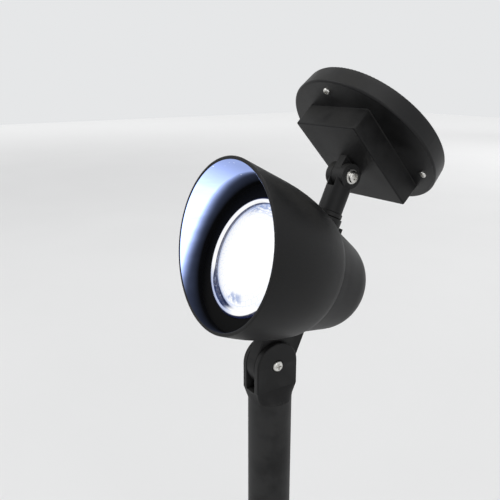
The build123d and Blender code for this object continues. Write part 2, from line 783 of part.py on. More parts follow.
with BuildPart() as battery_box:
    with BuildSketch(panel_plane.offset(box_bottom)):
        with Locations((0, box_middle)):
            RectangleRounded(box_width, box_length, box_corner)
    extrude(amount=box_top - box_bottom)
    fillet(battery_box.faces().sort_by(Axis(hinge_point, panel_normal))[0].edges(), box_edge)
    with BuildSketch(panel_plane.offset(box_floor)):
        with Locations((0, box_middle)):
            Rectangle(box_width - 2 * box_wall, box_length - 2 * box_wall)
    extrude(amount=box_top - box_floor, mode=Mode.SUBTRACT)
    # The wall between the batteries and the circuit, and the screw bosses.
    with BuildSketch(panel_plane.offset(box_floor)):
        with Locations((0, partition_start + partition_wall / 2)):
            Rectangle(box_width - box_wall, partition_wall)
        with Locations(*box_screw_places):
            Circle(box_boss_radius)
    extrude(amount=box_top - box_floor)
    # The tongue that hangs in the arm's fork.
    with BuildSketch(panel_side.offset(-panel_tongue_width / 2)):
        Circle(panel_tongue_radius)
        with BuildLine():
            Polyline(
                (-panel_tongue_radius, 0),
                (panel_tongue_radius, 0),
                (panel_tongue_root, box_bottom + box_wall / 2),
                (-panel_tongue_root, box_bottom + box_wall / 2),
                close=True,
            )
        make_face()
    extrude(amount=panel_tongue_width)
    with BuildSketch(panel_side.offset(-panel_tongue_width)):
        Circle(bolt_radius + fit_gap)
    extrude(amount=2 * panel_tongue_width, mode=Mode.SUBTRACT)
    with BuildSketch(panel_plane.offset(box_top)):
        with Locations(*box_screw_places):
            Circle(small_screw_radius + fit_gap)
    extrude(amount=-box_screw_length, mode=Mode.SUBTRACT)
battery_box.part.label = "battery_box"
export_step(battery_box.part, "parts/battery_box.step")

with BuildPart() as box_gasket:
    with BuildSketch(panel_plane.offset(box_top)):
        with Locations((0, box_middle)):
            RectangleRounded(box_width, box_length, box_corner)
            Rectangle(box_width - 2 * box_wall, box_length - 2 * box_wall, mode=Mode.SUBTRACT)
    extrude(amount=gasket_thickness)
box_gasket.part.label = "box_gasket"
export_step(box_gasket.part, "parts/box_gasket.step")

battery_plane = Plane(
    origin=hinge_point + panel_length * battery_start + panel_normal * battery_level,
    x_dir=across,
    z_dir=panel_length,
)
with BuildPart() as batteries:
    with BuildSketch(battery_plane):
        with Locations(*battery_places):
            Circle(battery_radius)
    extrude(amount=battery_length)
    chamfer(batteries.edges(), 0.6)
    with BuildSketch(battery_plane.offset(battery_length)):
        with Locations(*battery_places):
            Circle(battery_nub[0])
    extrude(amount=battery_nub[1])
batteries.part.label = "batteries"
export_step(batteries.part, "parts/batteries.step")

with BuildPart() as battery_contacts:
    with BuildSketch(battery_plane.offset(-spring_length)):
        with Locations(*battery_places):
            Rectangle(contact_size, contact_size)
    extrude(amount=-contact_thickness)
    with BuildSketch(battery_plane.offset(battery_length + battery_nub[1])):
        with Locations(*battery_places):
            Rectangle(contact_size, contact_size)
    extrude(amount=contact_thickness)
battery_contacts.part.label = "battery_contacts"
export_step(battery_contacts.part, "parts/battery_contacts.step")

with BuildPart() as battery_springs:
    for place, _ in battery_places:
        spring_origin = battery_plane.origin + across * place
        with BuildSketch(Plane(origin=spring_origin, x_dir=across, z_dir=panel_normal)):
            with BuildLine():
                Polyline(
                    (spring_radii[1] - spring_wire, 0),
                    (spring_radii[1], 0),
                    (spring_radii[0], -spring_length),
                    (spring_radii[0] - spring_wire, -spring_length),
                    close=True,
                )
            make_face()
        revolve(axis=Axis(spring_origin, panel_length))
battery_springs.part.label = "battery_springs"
export_step(battery_springs.part, "parts/battery_springs.step")

control_plane = Plane(
    origin=hinge_point + panel_length * control_place + panel_normal * box_floor,
    x_dir=across,
    z_dir=panel_length,
)
with BuildPart() as control_board:
    with BuildSketch(control_plane):
        Rectangle(control_width, control_height, align=(Align.CENTER, Align.MAX))
    extrude(amount=board_thickness)
control_board.part.label = "control_board"
export_step(control_board.part, "parts/control_board.step")

with BuildPart() as board_components:
    with BuildSketch(control_plane):
        with Locations((-component_pitch, -control_height / 2)):
            Circle(1.9)
        with Locations((0, -control_height / 2)):
            Rectangle(5.0, 4.0)
        with Locations((component_pitch, -control_height / 2)):
            Circle(2.6)
    extrude(amount=-2.6)
board_components.part.label = "board_components"
export_step(board_components.part, "parts/board_components.step")

# ================================================================ solar tray
tray_floor = tray_bottom + tray_wall
tray_top = tray_bottom + tray_height
face_bottom = tray_top - face_recess - face_thickness
cover_bottom = face_bottom - solar_cover_thickness
cell_bottom = cover_bottom - solar_cell_thickness
solar_board_bottom = cell_bottom - solar_board_thickness

with BuildPart() as panel_tray:
    with BuildSketch(tray_section):
        with BuildLine():
            Polyline(
                (0, tray_bottom),
                (tray_base_radius, tray_bottom),
                (tray_rim_radius, tray_top),
                (tray_rim_radius - tray_wall, tray_top),
                (tray_base_radius - tray_wall, tray_floor),
                (0, tray_floor),
                close=True,
            )
        make_face()
    revolve(axis=tray_axis)
    fillet(panel_tray.faces().sort_by(tray_axis)[0].edges(), tray_edge)
    fillet(panel_tray.faces().sort_by(tray_axis)[-1].edges(), tray_lip_edge)
    with BuildSketch(tray_plane.offset(tray_floor)):
        Rectangle(cell_frame, cell_frame)
        Rectangle(cell_frame - 2 * cell_frame_wall, cell_frame - 2 * cell_frame_wall, mode=Mode.SUBTRACT)
    extrude(amount=solar_board_bottom - tray_floor)
    # The openings for the batteries, the screws and the switch knob.
    opening_start = battery_start - running_gap
    opening_end = partition_start - running_gap
    with BuildSketch(panel_plane.offset(tray_bottom)):
        with Locations((0, (opening_start + opening_end) / 2)):
            Rectangle(2 * (battery_pitch + battery_radius + running_gap), opening_end - opening_start)
        with Locations(*box_screw_places):
            Circle(small_screw_radius + fit_gap)
        with Locations((switch_place, -tray_offset + switch_travel / 2)):
            Rectangle(knob_size[0] + 2 * side_gap, knob_size[1] + switch_travel + 2 * running_gap)
    extrude(amount=tray_wall, mode=Mode.SUBTRACT)
    with BuildSketch(tray_plane.offset(tray_bottom)):
        with PolarLocations(tray_screw_circle, 3, start_angle=-90):
            Circle(small_screw_radius + fit_gap)
    extrude(amount=tray_wall, mode=Mode.SUBTRACT)
panel_tray.part.label = "panel_tray"
export_step(panel_tray.part, "parts/panel_tray.step")

with BuildPart(panel_plane.offset(tray_floor)) as box_screws:
    with Locations(*box_screw_places):
        add(pan_head_screw(small_screw_radius, box_screw_length, small_head_radius - 0.2, small_head_height))
box_screws.part.label = "box_screws"
export_step(box_screws.part, "parts/box_screws.step")

with BuildPart() as face_plate:
    with BuildSketch(tray_plane.offset(face_bottom)):
        Circle(tray_inner_radius - side_gap)
        RectangleRounded(window_size, window_size, 1.5, mode=Mode.SUBTRACT)
        with Locations(sensor_place):
            Circle(sensor_radius + fit_gap, mode=Mode.SUBTRACT)
    extrude(amount=face_thickness)
    with BuildSketch(tray_plane.offset(tray_floor)):
        with PolarLocations(tray_screw_circle, 3, start_angle=-90):
            Circle(tray_boss_radius)
    extrude(amount=face_bottom - tray_floor)
    with BuildSketch(tray_plane.offset(tray_floor)):
        with PolarLocations(tray_screw_circle, 3, start_angle=-90):
            Circle(small_screw_radius + fit_gap)
    extrude(amount=face_bottom - tray_floor - tray_screw_end / 2, mode=Mode.SUBTRACT)
face_plate.part.label = "face_plate"
export_step(face_plate.part, "parts/face_plate.step")

tray_screw_length = face_bottom - tray_bottom - tray_screw_end
tray_screw_plane = Plane(origin=tray_centre + panel_normal * tray_bottom, x_dir=across, z_dir=-panel_normal)
with BuildPart(tray_screw_plane) as tray_screws:
    with PolarLocations(tray_screw_circle, 3, start_angle=90):
        add(pan_head_screw(small_screw_radius, tray_screw_length, small_head_radius, small_head_height))
tray_screws.part.label = "tray_screws"
export_step(tray_screws.part, "parts/tray_screws.step")

with BuildPart() as solar_board:
    with BuildSketch(tray_plane.offset(solar_board_bottom)):
        Rectangle(cell_frame, cell_frame)
    extrude(amount=solar_board_thickness)
solar_board.part.label = "solar_board"
export_step(solar_board.part, "parts/solar_board.step")

cell_pitch = (window_size - solar_cell_gap) / solar_rows
with BuildPart() as solar_cells:
    with BuildSketch(tray_plane.offset(cell_bottom)):
        with GridLocations(1, cell_pitch, 1, solar_rows):
            Rectangle(window_size - 2 * solar_cell_gap, cell_pitch - solar_cell_gap)
    extrude(amount=solar_cell_thickness)
solar_cells.part.label = "solar_cells"
export_step(solar_cells.part, "parts/solar_cells.step")

with BuildPart() as solar_cover:
    with BuildSketch(tray_plane.offset(cover_bottom)):
        Rectangle(cell_frame, cell_frame)
    extrude(amount=solar_cover_thickness)
solar_cover.part.label = "solar_cover"
export_step(solar_cover.part, "parts/solar_cover.step")

with BuildPart() as light_sensor:
    with BuildSketch(tray_plane.offset(face_bottom)):
        with Locations(sensor_place):
            Circle(sensor_radius)
    extrude(amount=face_thickness + 1.2)
    fillet(light_sensor.faces().sort_by(tray_axis)[-1].edges(), 1.1)
light_sensor.part.label = "light_sensor"
export_step(light_sensor.part, "parts/light_sensor.step")

# ================================================================ switch
switch_plane = Plane(
    origin=tray_centre + across * switch_place + panel_length * switch_travel / 2,
    x_dir=across,
    z_dir=panel_normal,
)
foot_level = tray_floor + side_gap / 2
with BuildPart() as switch_body:
    with BuildSketch(switch_plane.offset(tray_floor)):
        Rectangle(switch_size[0], switch_size[1])
    extrude(amount=switch_size[2])
    with BuildSketch(switch_plane.offset(tray_floor)):
        Rectangle(knob_foot[0] + 2 * running_gap, knob_foot[1] + switch_travel + 2 * running_gap)
    extrude(amount=knob_foot[2] + running_gap, mode=Mode.SUBTRACT)
switch_body.part.label = "switch_body"
export_step(switch_body.part, "parts/switch_body.step")

knob_plane = Plane(origin=tray_centre + across * switch_place, x_dir=across, z_dir=panel_normal)
with BuildPart() as switch_knob:
    with BuildSketch(knob_plane.offset(foot_level)):
        Rectangle(knob_foot[0], knob_foot[1])
    extrude(amount=knob_foot[2])
    with BuildSketch(knob_plane.offset(foot_level)):
        Rectangle(*knob_size)
    extrude(amount=-(foot_level - tray_bottom + knob_reach))
    chamfer(switch_knob.faces().sort_by(tray_axis)[0].edges(), 0.4)
switch_knob.part.label = "switch_knob"
export_step(switch_knob.part, "parts/switch_knob.step")
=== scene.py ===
"""Solar garden spotlight on a ground stake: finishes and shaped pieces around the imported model."""

import json
from cmath import phase
from math import ceil, cos, pi, radians, sin, tan

import bmesh
import bpy
from mathutils import Matrix, Vector


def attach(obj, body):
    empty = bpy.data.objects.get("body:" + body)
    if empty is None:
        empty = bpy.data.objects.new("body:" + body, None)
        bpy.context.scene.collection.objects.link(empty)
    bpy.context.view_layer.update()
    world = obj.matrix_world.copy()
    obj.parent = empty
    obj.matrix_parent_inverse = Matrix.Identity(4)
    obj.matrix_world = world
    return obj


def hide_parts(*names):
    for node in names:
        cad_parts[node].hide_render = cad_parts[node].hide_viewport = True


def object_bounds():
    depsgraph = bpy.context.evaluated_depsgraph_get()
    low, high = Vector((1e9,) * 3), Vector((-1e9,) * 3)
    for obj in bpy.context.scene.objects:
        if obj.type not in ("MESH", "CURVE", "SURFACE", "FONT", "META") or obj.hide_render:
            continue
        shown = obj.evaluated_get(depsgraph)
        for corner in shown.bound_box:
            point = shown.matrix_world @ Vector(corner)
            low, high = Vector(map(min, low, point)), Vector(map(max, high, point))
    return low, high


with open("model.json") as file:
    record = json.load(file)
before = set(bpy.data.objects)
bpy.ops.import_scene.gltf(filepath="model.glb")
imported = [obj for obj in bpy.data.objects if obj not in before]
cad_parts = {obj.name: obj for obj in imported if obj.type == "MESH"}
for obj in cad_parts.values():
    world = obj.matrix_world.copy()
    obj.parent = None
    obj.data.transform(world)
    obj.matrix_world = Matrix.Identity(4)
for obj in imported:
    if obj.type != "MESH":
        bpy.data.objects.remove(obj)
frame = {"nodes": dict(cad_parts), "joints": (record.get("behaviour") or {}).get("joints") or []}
cad_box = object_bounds()
nodes = frame["nodes"]
MM = 0.001

# ------------------------------------------------------------- the lamp's own directions
joints = {joint["name"]: joint for joint in frame["joints"]}
across = Vector((1, 0, 0))
rise = Vector(joints["arm_swivel"]["axis"]).normalized()
beam = across.cross(rise)
tilt_point = Vector(joints["head_tilt"]["pos_m"])
hinge_point = Vector(joints["panel_tilt"]["pos_m"])
panel_length = Vector(joints["switch_slide"]["axis"]).normalized()
panel_normal = across.cross(panel_length)
lens_centre = tilt_point + (rise * 60.6 + beam * 46.4) * MM
tray_centre = hinge_point - panel_length * 4.3 * MM


def seat(origin, x_dir, y_dir):
    """The placing of a piece drawn in millimetres about its own origin."""
    turn = Matrix((x_dir, y_dir, x_dir.cross(y_dir))).transposed().to_4x4()
    return Matrix.Translation(origin) @ turn @ Matrix.Scale(MM, 4)


on_ground = seat(Vector((0, 0, 0)), Vector((1, 0, 0)), Vector((0, 1, 0)))
on_head = seat(lens_centre, across, rise)
contacts = hinge_point + (panel_normal * 18.1 - panel_length * 34.0) * MM
on_contacts = seat(contacts, across, -panel_normal)


# ------------------------------------------------------------- finishes
class Signal:
    """A value inside a finish; arithmetic on it adds the nodes that work it out."""

    def __init__(self, finish, socket):
        self.finish = finish
        self.socket = socket

    def maths(self, operation, first, second=0.0):
        return self.finish.maths(operation, first, second)

    def __add__(self, other):
        return self.maths("ADD", self, other)

    def __sub__(self, other):
        return self.maths("SUBTRACT", self, other)

    def __mul__(self, other):
        return self.maths("MULTIPLY", self, other)

    def __truediv__(self, other):
        return self.maths("DIVIDE", self, other)

    def __pow__(self, other):
        return self.maths("POWER", self, other)

    def __rsub__(self, other):
        return self.maths("SUBTRACT", other, self)

    __radd__ = __add__
    __rmul__ = __mul__

    def least(self, other):
        return self.maths("MINIMUM", self, other)

    def most(self, other):
        return self.maths("MAXIMUM", self, other)

    def wrapped(self):
        return self.maths("FRACT", self)

    def size(self):
        return self.maths("ABSOLUTE", self)

    def between(self, low, high):
        """0 below low, 1 above high, smooth in the middle."""
        settings = {"interpolation_type": "SMOOTHSTEP"}
        inputs = {"Value": self, "From Min": low, "From Max": high}
        return self.finish.node("ShaderNodeMapRange", settings, inputs)


class Nodes:
    """A node tree that grows as expressions are written."""

    def __init__(self, tree, shader):
        self.tree = tree
        self.shader = tree.nodes[shader]

    def node(self, kind, settings=None, inputs=None, output=0):
        """Adds a node: its settings first, then its sockets' values or links."""
        made = self.tree.nodes.new(kind)
        for name, value in (settings or {}).items():
            setattr(made, name, value)
        for name, value in (inputs or {}).items():
            self.feed(made.inputs[name], value)
        return Signal(self, made.outputs[output])

    def feed(self, socket, value):
        if isinstance(value, Signal):
            self.tree.links.new(value.socket, socket)
        else:
            socket.default_value = value

    def maths(self, operation, first, second=0.0):
        return self.node("ShaderNodeMath", {"operation": operation}, {0: first, 1: second})

    def drive(self, **signals):
        """Feeds the shader's own sockets."""
        for name, value in signals.items():
            self.feed(self.shader.inputs[name.replace("_", " ")], value)

    def seen(self):
        """1 where the camera, a reflection or a clear piece looks straight at it."""
        camera_ray = self.node("ShaderNodeLightPath", output="Is Camera Ray")
        glossy_ray = self.node("ShaderNodeLightPath", output="Is Glossy Ray")
        clear_ray = self.node("ShaderNodeLightPath", output="Is Transmission Ray")
        return camera_ray.most(glossy_ray).most(clear_ray)


class Finish(Nodes):
    """A material on the Principled shader whose look comes from nodes."""

    def __init__(self, name, **constants):
        self.material = bpy.data.materials.new(name)
        self.material.use_nodes = True
        super().__init__(self.material.node_tree, "Principled BSDF")
        for socket, value in constants.items():
            self.shader.inputs[socket.replace("_", " ")].default_value = value
        self.place = self.node("ShaderNodeTexCoord", output="Object")

    def noise(self, scale, detail=2.0, stretch=(1, 1, 1), at=None):
        inputs = {"Vector": at or self.place, "Scale": stretch}
        spread = self.node("ShaderNodeMapping", None, inputs)
        inputs = {"Vector": spread, "Scale": scale, "Detail": detail}
        return self.node("ShaderNodeTexNoise", None, inputs)

    def cells(self, scale, feature="F1", output="Distance"):
        inputs = {"Vector": self.place, "Scale": scale}
        return self.node("ShaderNodeTexVoronoi", {"feature": feature}, inputs, output)

    def around(self, origin, out, side):
        """Radius and angle about an axis square to out and side."""
        upward = self.along(out, origin)
        sideways = self.along(side, origin)
        radius = (upward * upward + sideways * sideways) ** 0.5
        return radius, self.maths("ARCTAN2", sideways, upward)

    def along(self, direction, origin=(0, 0, 0)):
        """Distance in metres from origin along a direction of the object."""
        settings = {"operation": "SUBTRACT"}
        offset = self.node("ShaderNodeVectorMath", settings, {0: self.place, 1: origin})
        settings = {"operation": "DOT_PRODUCT"}
        return self.node("ShaderNodeVectorMath", settings, {0: offset, 1: direction}, "Value")

    def facing(self, direction):
        """How far a surface faces a direction of the object, -1 to 1."""
        normal = self.node("ShaderNodeTexCoord", output="Normal")
        settings = {"operation": "DOT_PRODUCT"}
        return self.node("ShaderNodeVectorMath", settings, {0: normal, 1: direction}, "Value")

    def edges(self, low=0.51, high=0.58):
        """Where the surface is sharply convex, so that it wears."""
        return self.node("ShaderNodeNewGeometry", output="Pointiness").between(low, high)

    def mix(self, amount, first, second):
        settings = {"data_type": "RGBA"}
        return self.node("ShaderNodeMix", settings, {0: amount, 6: first, 7: second}, 2)

    def bump(self, height, depth, strength=1.0):
        inputs = {"Height": height, "Distance": depth, "Strength": strength}
        self.drive(Normal=self.node("ShaderNodeBump", None, inputs))


def grey(level, alpha=1.0):
    return (level, level, level, alpha)


def moulded_black(name, level=0.006, gloss=0.5, grain=0.00007, soil=0.0):
    """Black moulded plastic: spark-textured skin, faint dust, paler worn edges."""
    finish = Finish(name, Specular_IOR_Level=0.22)
    mottle = finish.noise(45, 4)
    texture = finish.noise(1700, 2)
    broad = finish.noise(14, 3)
    scuff = finish.noise(260, 5, (1, 1, 0.12)).between(0.6, 0.76) * broad.between(0.5, 0.7)
    dust = finish.facing((0, 0, 1)).between(0.25, 1.0) * mottle.between(0.38, 0.68)
    wear = finish.edges() * mottle.between(0.3, 0.6)
    colour = finish.mix(mottle, grey(level * 0.85), (level * 1.12, level * 1.12, level * 1.22, 1))
    colour = finish.mix(scuff * 0.35, colour, grey(0.04))
    colour = finish.mix(wear * 0.4, colour, grey(0.045))
    colour = finish.mix(dust * 0.10, colour, (0.12, 0.115, 0.10, 1))
    if soil:
        height = finish.along((0, 0, 1))
        splash = (height * -1 + (mottle - 0.5) * 0.06).between(-0.04, 0.03)
        dust_specks_painted_lit = finish.noise(620, 6, (1, 1, 0.6)).between(0.42, 0.74) * mottle.between(0.30, 0.62)
        colour = finish.mix(splash * dust_specks_painted_lit * soil, colour, (0.085, 0.064, 0.044, 1))
    finish.drive(Base_Color=colour)
    finish.drive(Roughness=mottle * 0.14 + scuff * 0.1 + dust * 0.18 + (gloss - 0.07))
    finish.bump(texture + broad * 0.35, grain)
    return finish.material


def plated_steel(name, tint=(0.66, 0.65, 0.62, 1), roughness=0.27):
    """Zinc plated steel with turning marks, small stains and brighter edges."""
    finish = Finish(name, Metallic=1.0)
    marks = finish.noise(900, 3, (1, 1, 0.15))
    stain = finish.noise(230, 4).between(0.5, 0.72)
    dark = (tint[0] * 0.62, tint[1] * 0.6, tint[2] * 0.56, 1)
    colour = finish.mix(stain * 0.6, tint, dark)
    colour = finish.mix(finish.edges(0.5, 0.6) * 0.5, colour, grey(0.86))
    finish.drive(Base_Color=colour, Roughness=marks * 0.16 + stain * 0.14 + (roughness - 0.08))
    finish.bump(marks, 0.00003)
    return finish.material


def soft_rubber(name):
    finish = Finish(name, Specular_IOR_Level=0.3)
    bloom = finish.noise(120, 4)
    finish.drive(Base_Color=finish.mix(bloom, grey(0.018), grey(0.034)))
    finish.drive(Roughness=bloom * 0.2 + 0.68)
    finish.bump(finish.noise(1400, 2), 0.00005)
    return finish.material


def circuit_board(name, mask, copper, scale=420, pad_size=0.20):
    """Lacquered circuit board with faint tracks and tinned pads."""
    finish = Finish(name, Coat_Weight=0.25, Specular_IOR_Level=0.5)
    cloudy = finish.noise(60, 3)
    tracks = finish.cells(scale, "DISTANCE_TO_EDGE").between(0.10, 0.06)
    pads = finish.cells(scale * 0.6).between(pad_size, pad_size * 0.8)
    dark = tuple(0.8 * part for part in mask[:3]) + (1,)
    colour = finish.mix(cloudy, dark, mask)
    colour = finish.mix(tracks * 0.7, colour, copper)
    colour = finish.mix(pads, colour, (0.62, 0.62, 0.58, 1))
    finish.drive(Base_Color=colour, Metallic=pads * 0.9, Roughness=cloudy * 0.2 + 0.28)
    finish.bump(tracks * 0.4 + pads, 0.00006)
    return finish.material


def brushed_aluminium(name):
    finish = Finish(name, Metallic=1.0)
    lines = finish.noise(500, 3, (0.06, 1, 1))
    bloom = finish.noise(70, 4)
    finish.drive(Base_Color=finish.mix(bloom, grey(0.60), grey(0.76)))
    finish.drive(Roughness=lines * 0.22 + bloom * 0.12 + 0.2)
    finish.bump(lines, 0.00004)
    return finish.material


CELL_PITCH = 0.00742


def silicon_cells(name):
    """Blue-black silicon strips with silver fingers and one busbar on each strip."""
    finish = Finish(name, Coat_Weight=0.4, Specular_IOR_Level=0.55)
    sideways = finish.along(across, tray_centre)
    forward = finish.along(panel_length, tray_centre)
    flakes = finish.cells(170, output="Color")
    smooth = finish.noise(40, 3)
    fingers = ((sideways / 0.0022).wrapped() - 0.5).size().between(0.445, 0.47)
    bars = ((forward / CELL_PITCH + 0.5).wrapped() - 0.5).size().between(0.075, 0.055)
    silver = (fingers * 0.7).most(bars) * (0.75 + smooth * 0.4)
    colour = finish.mix(flakes, (0.004, 0.008, 0.030, 1), (0.010, 0.022, 0.085, 1))
    colour = finish.mix(smooth * 0.4, colour, (0.016, 0.012, 0.045, 1))
    colour = finish.mix(silver, colour, (0.50, 0.52, 0.55, 1))
    finish.drive(Base_Color=colour, Metallic=silver * 0.8, Roughness=0.34 - flakes * 0.12)
    finish.bump(silver, 0.00005)
    return finish.material


def clear_sheet(name):
    """Clear acrylic over the cells, dusty towards its edges and lightly scratched."""
    finish = Finish(name, Coat_Weight=0.3, Specular_IOR_Level=0.5)
    sideways = finish.along(across, tray_centre).size()
    forward = finish.along(panel_length, tray_centre).size()
    border = sideways.most(forward).between(0.024, 0.037)
    cloud = finish.noise(90, 5)
    dust = cloud.between(0.42, 0.75) * (0.25 + border)
    scratches = finish.noise(240, 4, (1, 0.03, 1)).between(0.66, 0.7)
    finish.drive(Base_Color=finish.mix(dust, (0.35, 0.38, 0.42, 1), (0.50, 0.47, 0.40, 1)))
    finish.drive(Alpha=dust * 0.2 + scratches * 0.1 + 0.04)
    finish.drive(Roughness=dust * 0.3 + scratches * 0.2 + 0.07)
    finish.bump(cloud, 0.00003)
    return finish.material


def battery_wrap(name):
    """Printed film: dark green, a pale band near one end, scuffed."""
    finish = Finish(name, Coat_Weight=0.2)
    forward = finish.along(panel_length, hinge_point)
    band = forward.between(0.0095, 0.0100)
    line = forward.between(0.0078, 0.0080) * (1 - forward.between(0.0086, 0.0088))
    metal = forward.between(0.0195, 0.0198).most(1 - forward.between(-0.0294, -0.0290))
    scuff = finish.noise(420, 5, (1, 0.3, 0.3)).between(0.6, 0.72)
    wrinkle = finish.noise(140, 2, (1, 0.12, 0.12))
    colour = finish.mix(band.most(line), (0.015, 0.13, 0.05, 1), (0.70, 0.71, 0.70, 1))
    colour = finish.mix(scuff * 0.4, colour, grey(0.42))
    colour = finish.mix(metal, colour, grey(0.62))
    finish.drive(Base_Color=colour, Metallic=metal, Roughness=wrinkle * 0.2 + 0.22)
    finish.bump(wrinkle, 0.00008)
    return finish.material


def sensor_resin(name):
    """Clear resin with a dark chip and pale leads under its face."""
    finish = Finish(name, Coat_Weight=0.6)
    shade = finish.noise(500, 3)
    chip = finish.cells(620).between(0.38, 0.30)
    colour = finish.mix(shade, (0.20, 0.10, 0.03, 1), (0.34, 0.19, 0.06, 1))
    finish.drive(Base_Color=finish.mix(chip, colour, grey(0.03)), Roughness=shade * 0.15 + 0.08)
    finish.bump(shade, 0.00003)
    return finish.material


def natural_nylon(name):
    finish = Finish(name, Specular_IOR_Level=0.4)
    cloud = finish.noise(110, 4)
    finish.drive(Base_Color=finish.mix(cloud, (0.62, 0.58, 0.47, 1), (0.72, 0.69, 0.60, 1)))
    finish.drive(Roughness=cloud * 0.2 + 0.35)
    finish.bump(finish.noise(1200, 2), 0.00004)
    return finish.material


def lit_phosphor(name):
    finish = Finish(name, Roughness=0.4, Emission_Strength=3.0)
    warm = finish.noise(700, 2)
    finish.drive(Base_Color=finish.mix(warm, (0.95, 0.9, 0.55, 1), (0.98, 0.95, 0.75, 1)))
    finish.drive(Emission_Color=finish.mix(warm, (0.9, 0.95, 1, 1), (1, 1, 1, 1)))
    return finish.material


black = moulded_black("black_spark_texture")
black_soil = moulded_black("black_with_soil", gloss=0.55, soil=0.8)
nickel = plated_steel("nickel_plated_steel", tint=(0.70, 0.68, 0.62, 1), roughness=0.2)

FINISHES = {
    black: ["hood", "rear_housing", "stake_head", "panel_arm", "battery_box", "switch_knob"],
    moulded_black("black_fine_texture", level=0.007, gloss=0.42, grain=0.00004): [
        "panel_tray", "face_plate", "board_components", "switch_body"],
    black_soil: ["ground_spike", "riser_tube"],
    plated_steel("zinc_plated_steel"): [
        "tilt_bolt", "tilt_nut", "panel_bolt", "panel_nut", "panel_washer", "tray_screws",
        "box_screws", "board_screws", "reflector_screws"],
    nickel: ["battery_contacts", "battery_springs"],
    soft_rubber("seal_rubber"): ["lens_gasket", "housing_seal", "arm_seal", "box_gasket"],
    circuit_board("green_board", (0.012, 0.14, 0.05, 1), (0.03, 0.24, 0.09, 1)): [
        "control_board"],
    circuit_board("white_board", (0.78, 0.79, 0.78, 1), (0.60, 0.62, 0.62, 1), scale=160): [
        "led_board"],
    circuit_board(
        "dark_board", (0.012, 0.014, 0.02, 1), (0.03, 0.034, 0.04, 1), scale=300, pad_size=0.02,
    ): ["solar_board"],
    brushed_aluminium("brushed_aluminium"): ["heat_spreader"],
    silicon_cells("silicon_cells"): ["solar_cells"],
    clear_sheet("clear_cover"): ["solar_cover"],
    battery_wrap("battery_film"): ["batteries"],
    sensor_resin("sensor_resin"): ["light_sensor"],
    natural_nylon("natural_nylon"): ["arm_retainer"],
    lit_phosphor("lit_phosphor"): ["led"],
}
for material, names in FINISHES.items():
    for name in names:
        nodes[name].data.materials.clear()
        nodes[name].data.materials.append(material)


def painted_light_black(name):
    """The hood's inside: the lamp's own light on it is painted as emission, from a line ahead of the
    lens.
    """
    finish = Finish(name, IOR=1.15, Specular_IOR_Level=0.3, Emission_Strength=2.5)
    mottle = finish.noise(45, 4)
    streaks = finish.noise(150, 4, (1, 0.2, 1))
    # Painted lamp light: emission on the inside wall, dark next to the lens, brightening from a line
    # ahead of it that lies further out above and below the middle, dimmer towards the top.
    ahead = finish.along(beam, lens_centre) + (mottle - 0.5) * 0.0012
    height = finish.along(rise, lens_centre)
    square = height * height
    start = square * (4.5 - height.between(-0.008, 0.008) * 2.2) + 0.0042
    spill = ((ahead - start) * 100).most(0) ** 3
    faint = (ahead - 0.002).most(0) * 6 * (1 - square * 320)
    top = 1 - height.between(0.024, 0.052) * (0.62 + streaks * 0.18)
    light = (spill + faint).least(top) * (0.75 + streaks * 0.46)
    # Dust specks on the wall, painted as glinting where the painted lamp light falls.
    pick = finish.cells(230, output="Color").between(0.52, 0.53)
    dust_specks_painted_lit = finish.cells(230).between(0.13, 0.06) * pick
    dust_specks_painted_lit = dust_specks_painted_lit * light.between(0.1, 0.25) * height.between(0.02, 0.04)
    painted_glow = finish.mix(light, grey(0.0), (0.42, 0.54, 1.0, 1))
    painted_glow = finish.mix(dust_specks_painted_lit, painted_glow, (0.6, 0.65, 0.7, 1))
    finish.drive(Base_Color=finish.mix(mottle, grey(0.003), grey(0.006)), Emission_Color=painted_glow)
    finish.drive(Roughness=mottle * 0.14 + 0.42)
    finish.bump(finish.noise(1700, 2), 0.00007)
    return finish.material


LENS_SPOKES = 36
LENS_RING_PITCH = 0.0031


